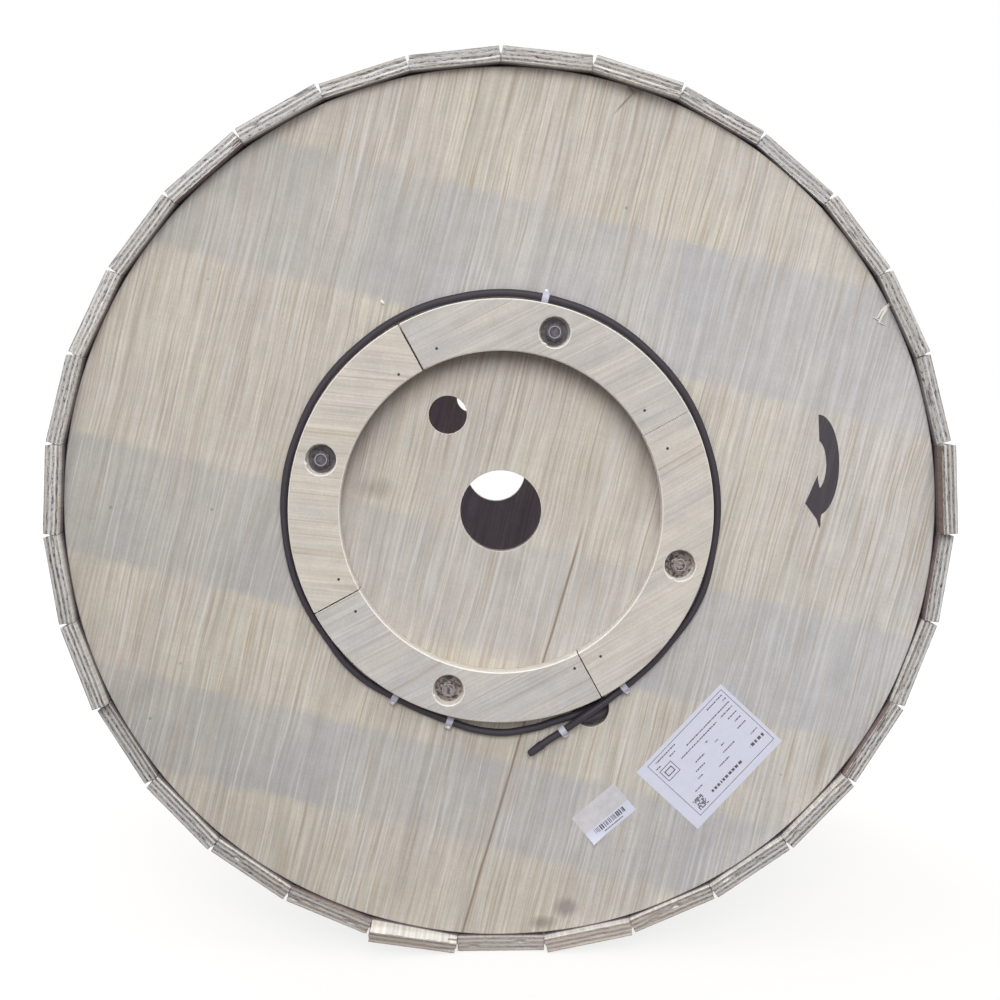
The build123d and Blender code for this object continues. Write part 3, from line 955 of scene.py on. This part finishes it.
def sheet_point(spot, turn, size, curl, a, b, lift):
    """Point of a label, a along and b across it in metres from its corner, raised where it curls."""
    along = Vector((cos(turn), 0, sin(turn)))
    over = Vector((-sin(turn), 0, cos(turn)))
    curl_start = 1.55
    rise = curl * max(0.0, a / size[0] + b / size[1] - curl_start) ** 2
    return face_point(*spot, lift) + along * a + over * b - Vector((0, rise, 0))


def sheet_slabs(spot, turn, size, curl, marks, lift, depth):
    """Thin slabs over parts of a label, each mark given as a, b from and a, b to in millimetres."""
    points, faces = [], []
    for a0, b0, a1, b1 in marks:
        steps_a, steps_b = max(1, int((a1 - a0) / 3)), max(1, int((b1 - b0) / 3))
        start = len(points)
        grid = (steps_a + 1) * (steps_b + 1)
        for top in (0, 1):
            for i in range(steps_a + 1):
                for j in range(steps_b + 1):
                    a, b = a0 + (a1 - a0) * i / steps_a, b0 + (b1 - b0) * j / steps_b
                    points.append(sheet_point(spot, turn, size, curl, a / 1000, b / 1000, lift + depth * top))
        for layer in (start, start + grid):
            faces += grid_faces(layer, steps_a + 1, steps_b + 1)
        wide = steps_b + 1
        rim = [i * wide for i in range(steps_a)] + [steps_a * wide + j for j in range(steps_b)]
        rim += [i * wide + steps_b for i in range(steps_a, 0, -1)] + list(range(steps_b, 0, -1))
        faces += bands([[layer + k for k in rim] for layer in (start, start + grid)])
    return points, faces


def dash_row(rng, start, end, row, height, least, most):
    """Dashes of uneven length along one row, in place of print."""
    marks = []
    while start < end:
        length = rng.uniform(least, most)
        marks.append((start, row, min(start + length, end), row + height))
        start += length + rng.uniform(0.35, 0.6) * height
    return marks


def frame_marks(a0, b0, a1, b1, line):
    """Four thin marks round a box."""
    level = [(a0, b0, a1, b0 + line), (a0, b1 - line, a1, b1)]
    return level + [(a0, b0, a0 + line, b1), (a1 - line, b0, a1, b1)]


class DRUM_OT_labels(bpy.types.Operator):
    """Stick two paper labels on the front flange, with plain dashes and bars for print"""

    bl_idname = "drum.labels"
    bl_label = "Labels"

    def execute(self, context):
        look, sizes = context.scene.drum_look, context.scene.drum_sizes
        paper = label_paper("uncoated_label_paper", (*look.paper_white, 1), 0.02)
        film = label_paper("frosted_label_film", linear("c8c6ca"), 0.09)
        ink = black_ink(look, "label_print_ink", linear("59545e"), 0.1)
        rng = np.random.default_rng(7)
        # Data label: a border, rows of dashes, a framed square and a block of small squares
        place = ((267.9, -211.9), radians(-132.9), tuple(sizes.page), 0.0)
        page = (0, 0, 1000 * sizes.page[0], 1000 * sizes.page[1])
        new_piece("data_label", *sheet_slabs(*place, [page], 0.02, 0.13), paper)
        marks = frame_marks(4.5, 5.0, 135.5, 95.0, 0.7)
        for row, spans in ((9.5, ((9, 36), (92, 126))), (15.5, ((8, 14), (98, 108), (124, 131))),
                           (21.5, ((9, 84),)), (28.0, ((10, 30), (38, 100))), (36.0, ((11, 26), (62, 66))),
                           (44.0, ((12, 22), (52, 57), (76, 92))), (52.5, ((12, 26), (50, 55), (84, 100))),
                           (60.5, ((40, 60), (96, 104))), (69.0, ((9, 20), (58, 76), (106, 118)))):
            for start, end in spans:
                marks += dash_row(rng, start, end, row, 1.5, 0.9, 3.6)
        marks += dash_row(rng, 9, 32, 78.5, 4.0, 2.5, 5.0) + dash_row(rng, 52, 104, 83.0, 3.4, 2.0, 5.0)
        marks += frame_marks(110.5, 20.5, 130.5, 37.5, 0.9) + frame_marks(114.5, 25.0, 126.5, 33.0, 1.2)
        for i in range(9):
            for j in range(9):
                if rng.random() < 0.55 or i in (0, 8) and j in (0, 8):
                    marks.append((115.5 + 1.65 * i, 76.0 + 1.65 * j, 117.0 + 1.65 * i, 77.5 + 1.65 * j))
        new_piece("data_label_print", *sheet_slabs(*place, marks, 0.151, 0.03), ink)
        # Bar label: a frosted film with a paper strip along one side, its corner curled up
        place = ((138.4, -335.0), radians(-139.7), tuple(sizes.tag), 0.022)
        tag = (0, 0, 1000 * sizes.tag[0], 1000 * sizes.tag[1])
        new_piece("bar_label_film", *sheet_slabs(*place, [tag], 0.02, 0.12), film)
        new_piece("bar_label", *sheet_slabs(*place, [(0.5, 26.5, 67.5, 42.5)], 0.141, 0.1), paper)
        marks, a = [], 10.5
        while a < 58:
            wide = rng.choice((0.7, 1.1, 1.9))
            marks.append((a, 28.5, a + wide, 35.5))
            a += wide + rng.choice((0.6, 1.0, 1.7))
        marks += dash_row(rng, 18, 47, 38.0, 1.5, 1.2, 2.4)
        new_piece("bar_label_print", *sheet_slabs(*place, marks, 0.242, 0.03), ink)
        return {"FINISHED"}


class DRUM_OT_arrow(bpy.types.Operator):
    """Stencil the curved turning arrow on the front flange"""

    bl_idname = "drum.arrow"
    bl_label = "Turning arrow"

    def execute(self, context):
        look = context.scene.drum_look
        ink = black_ink(look, "stencil_paint", (*look.ink_black, 1), 0.12)
        outer = arc_points((381.5, 55.0), (26.2, 61.0), 90, -78, 30)
        drip = [(386.2, -10.3), (386.6, -17.5), (385.0, -21.5), (381.4, -10.3)]
        head = [(367.3, 8.7), (382.0, 43.2), (382.7, 35.4)]
        inner = arc_points((380.0, 55.0), (12.0, 30.0), -67, 75, 20)
        outline = outer + drip + head + inner
        points = [face_point(x, z, lift) for lift in (0.01, 0.10) for x, z in outline]
        rings = numbered(0, 2, len(outline))
        new_piece("turning_arrow", points, [tuple(ring) for ring in rings] + bands(rings), ink)
        return {"FINISHED"}


def arc_points(centre, half, start, end, count):
    """Points along an elliptic arc with the given half widths, angles in degrees."""
    angles = [radians(start + (end - start) * k / (count - 1)) for k in range(count)]
    return [(centre[0] + half[0] * cos(a), centre[1] + half[1] * sin(a)) for a in angles]


class DRUM_OT_splinters(bpy.types.Operator):
    """Lift the loose splinters of veneer"""

    bl_idname = "drum.splinters"
    bl_label = "Splinters"

    def execute(self, context):
        wood = label_paper("torn_poplar_fibre", linear("ece8de"), 0.08)
        points, faces = [], []
        # Points of each splinter as across, up and lift in millimetres, then its width at the root
        strips = [
            (((466.9, 249.7, 0.6), (460.0, 244.1, 2.2), (454.3, 239.4, 2.8), (449.4, 231.0, 1.8)), 4.4),
            (((460.3, 243.0, 1.8), (459.0, 240.0, 2.4), (455.4, 233.8, 2.4), (451.4, 225.4, 1.4)), 4.2),
            (((450.8, 228.6, 1.2), (448.0, 230.4, 1.4), (445.0, 231.9, 1.0)), 1.5),
            (((451.8, 226.4, 1.2), (455.6, 224.2, 1.5), (459.5, 222.1, 0.8)), 1.3),
            (((-142.6, 251.5, 0.4), (-140.4, 249.2, 1.8), (-138.8, 247.8, 2.2)), 3.4),
            (((-143.2, 249.6, 0.4), (-141.4, 249.8, 1.4), (-139.4, 250.6, 1.6)), 2.0),
        ]
        # A pale chip on the rim of each counterbore
        level = 1000 * (flange_face - ring_face)
        for turn, chip in zip(rod_turns, (232, 196, 205, 242)):
            strip = []
            for step, reach, lift in ((-8, 18.9, 0.1), (0, 17.6, 0.5), (8, 18.6, 0.2)):
                way = radians(chip + step)
                strip.append((rod_circle * cos(turn) + reach * cos(way),
                              rod_circle * sin(turn) + reach * sin(way), level + lift))
            strips.append((strip, 2.6))
        for strip, width in strips:
            line = [face_point(*p) for p in strip]
            start = len(points)
            for k, point in enumerate(line):
                run = (line[min(k + 1, len(line) - 1)] - line[max(k - 1, 0)]).normalized()
                side = run.cross(Vector((0, 1, 0))).normalized()
                half = width / 2000 * (1 - 0.5 * k / (len(line) - 1))
                points += [point + side * half, point - Vector((0, 0.0004, 0)), point - side * half,
                           point + Vector((0, 0.0002, 0))]
            rings = numbered(start, len(line), 4)
            faces += bands(rings) + [tuple(rings[0]), tuple(rings[-1])]
        new_piece("veneer_splinters", points, faces, wood)
        return {"FINISHED"}


def seen_rays(add):
    """1 for the rays that make the picture: straight from the camera, off gloss or through glass."""
    path = add("LightPath").node.outputs
    seen = path["Is Camera Ray"]
    for kind in ("Is Glossy Ray", "Is Transmission Ray"):
        seen = add("Math MAXIMUM", seen, path[kind])
    return seen


class DRUM_OT_stage(bpy.types.Operator):
    """Set up the floor, the light and the camera"""

    bl_idname = "drum.stage"
    bl_label = "Studio"

    def execute(self, context):
        scene, light = context.scene, context.scene.drum_light
        scene.view_settings.view_transform = "Standard"
        # Even light, stronger from above; the camera, gloss and glass see plain white
        world = bpy.data.worlds.new("studio_white")
        world.use_nodes = True
        scene.world = world
        world.node_tree.nodes.clear()
        add = partial(add_node, world.node_tree)
        towards = add("SeparateXYZ", add("TexCoord").node.outputs["Generated"])
        strength = add("MapRange", towards.node.outputs["Z"], -0.25, 0.55, light.below, light.overhead)
        shine = add("Background", (1, 1, 1, 1), strength)
        white = add("Background", (1, 1, 1, 1), 1.0)
        mixed = add("MixShader", seen_rays(add), shine, white)
        add("OutputWorld", mixed)
        # Floor: matt grey to the light it throws back, near white to the eye, with the drum's shadow on it
        material = bpy.data.materials.new("studio_floor")
        material.use_nodes = True
        material.node_tree.nodes.clear()
        add = partial(add_node, material.node_tree)
        matt = add("BsdfDiffuse", (*light.floor, 1))
        glow = add("Emission", (1, 1, 1, 1), 0.8)
        lit = add("AddShader", matt, glow)
        mixed = add("MixShader", seen_rays(add), matt, lit)
        add("OutputMaterial", mixed)
        mesh = bpy.data.meshes.new("floor")
        # The floor lies a hair under the drum, so that the two don't share a plane
        reach, level = 40.0, -0.0005
        corners = ((-1, -1), (1, -1), (1, 1), (-1, 1))
        mesh.from_pydata([(x * reach, y * reach, level) for x, y in corners], [], [(0, 1, 2, 3)])
        mesh.materials.append(material)
        new_object("floor", mesh)
        # Two wide soft lamps, one in front and one behind, each given by the way to it
        for name, strength, way in (("front_lamp", light.key, (0.02, -0.87, 0.49)),
                                    ("back_lamp", light.back, (-0.35, 0.72, 0.60))):
            lamp = bpy.data.lights.new(name, "SUN")
            lamp.energy, lamp.angle = strength, radians(36)
            new_object(name, lamp).rotation_euler = Vector(way).to_track_quat("Z", "Y").to_euler()
        # A dim lamp in the barrel, so that its wood shows through the holes
        lamp = bpy.data.lights.new("barrel_lamp", "POINT")
        lamp.energy, lamp.shadow_soft_size = light.inside, 0.05
        lamp.color = (0.64, 0.64, 1.0)
        inside = new_object("barrel_lamp", lamp)
        inside.location = (0, 0, axis_height)
        inside.visible_camera = False
        # Camera a little above the axis, looking slightly down
        lens = bpy.data.cameras.new("camera")
        lens.lens, lens.sensor_width = 53.2, 36.0
        lens.clip_end = 100.0
        camera = new_object("camera", lens)
        camera.location = (-0.020, flange_face - 1.773, axis_height + 0.162)
        camera.rotation_euler = (radians(90 - 4.796), 0, radians(-0.615))
        scene.camera = camera
        return {"FINISHED"}


class DRUM_PT_panel(bpy.types.Panel):
    """Cable drum pieces and their settings"""

    bl_label = "Cable Drum"
    bl_idname = "DRUM_PT_panel"
    bl_space_type = "VIEW_3D"
    bl_region_type = "UI"
    bl_category = "Cable Drum"

    def draw(self, context):
        layout = self.layout
        for step in steps:
            layout.operator(step.bl_idname)
        for group in (context.scene.drum_look, context.scene.drum_sizes, context.scene.drum_light):
            box = layout.box()
            for name in group.__annotations__:
                box.prop(group, name)


steps = (
    DRUM_OT_flanges, DRUM_OT_hub_rings, DRUM_OT_barrel, DRUM_OT_lagging_boards, DRUM_OT_fasteners,
    DRUM_OT_cable, DRUM_OT_clips, DRUM_OT_labels, DRUM_OT_arrow, DRUM_OT_splinters, DRUM_OT_stage,
)
groups = {"drum_look": DrumLook, "drum_sizes": DrumSizes, "drum_light": StudioLight}


def register():
    for kind in (*groups.values(), *steps, DRUM_PT_panel):
        bpy.utils.register_class(kind)
    for name, group in groups.items():
        setattr(bpy.types.Scene, name, bpy.props.PointerProperty(type=group))


def unregister():
    for name in groups:
        delattr(bpy.types.Scene, name)
    for kind in reversed((*groups.values(), *steps, DRUM_PT_panel)):
        bpy.utils.unregister_class(kind)


def main():
    """Make every piece in order."""
    register()
    for step in steps:
        getattr(bpy.ops.drum, step.bl_idname.split(".")[1])()


if __name__ == "__main__":
    main()
